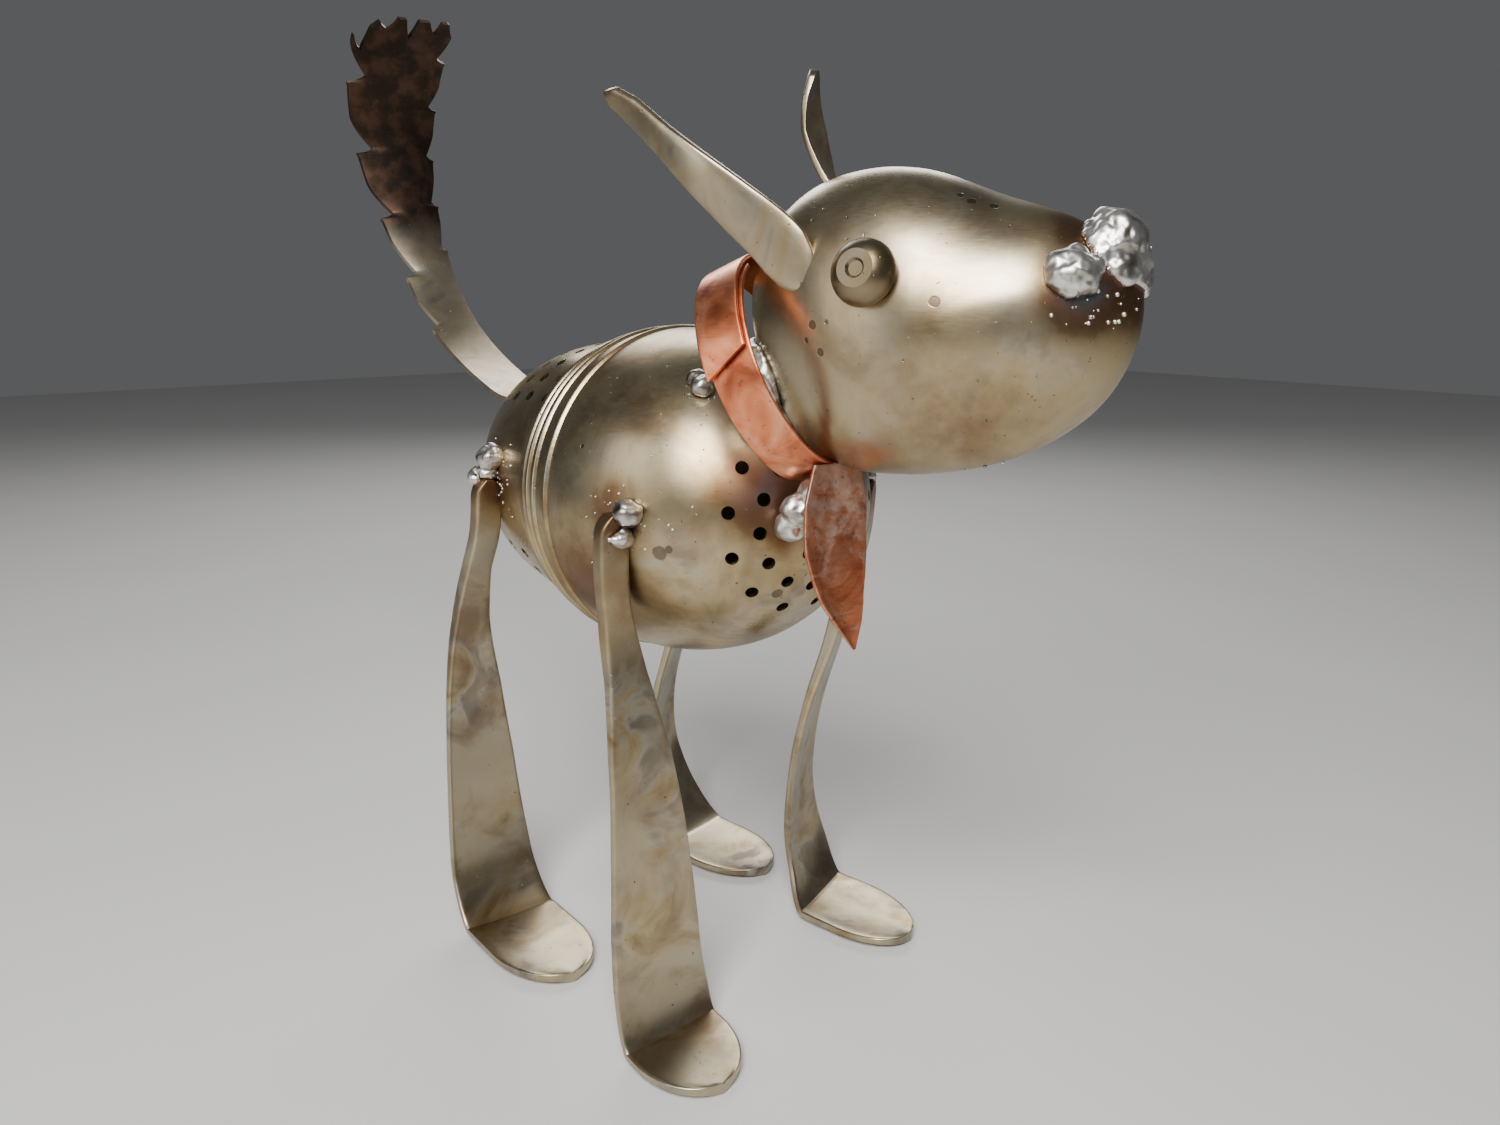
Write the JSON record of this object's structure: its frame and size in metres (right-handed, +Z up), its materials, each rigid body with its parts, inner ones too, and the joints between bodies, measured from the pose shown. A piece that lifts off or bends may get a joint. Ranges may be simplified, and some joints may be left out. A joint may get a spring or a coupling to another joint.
{
  "type": "scrap metal dog sculpture",
  "caption": "Small standing dog sculpture welded from kitchen metal: a perforated ball body, spoon handle legs, spoon bowl head, toothed tail and copper collar.",
  "frame": {"origin": "on the surface it stands on, under the middle of the dog's length and width", "axes": "+Z up, -Y towards the way the body faces, +X to the dog's left; the head is turned towards +X"},
  "size_m": [0.083, 0.2128, 0.2045],
  "materials": {
    "steel": "polished stainless steel with straw and bronze heat tint",
    "tinted_steel": "stainless steel, heat-darkened brown",
    "copper": "bright sheet copper, warm and scuffed",
    "weld": "rough silver-grey weld metal with beads"
  },
  "bodies": {
    "root": {"body_front_cup": "steel", "body_rear_cup": "steel", "leg_front_right": "steel", "leg_rear_right": "steel", "leg_front_left": "steel", "leg_rear_left": "steel", "head_right_bowl": "steel", "head_left_bowl": "steel", "ear_right": "steel", "ear_left": "steel", "tail": "tinted_steel", "eye_right": "tinted_steel", "eye_left": "tinted_steel", "collar": "copper", "collar_leaf": "copper", "nose": "weld", "neck_weld": "weld", "collar_weld": "weld", "leaf_weld": "weld", "weld_front_right": "weld", "weld_rear_right": "weld", "weld_front_left": "weld", "weld_rear_left": "weld"}
  },
  "joints": []
}
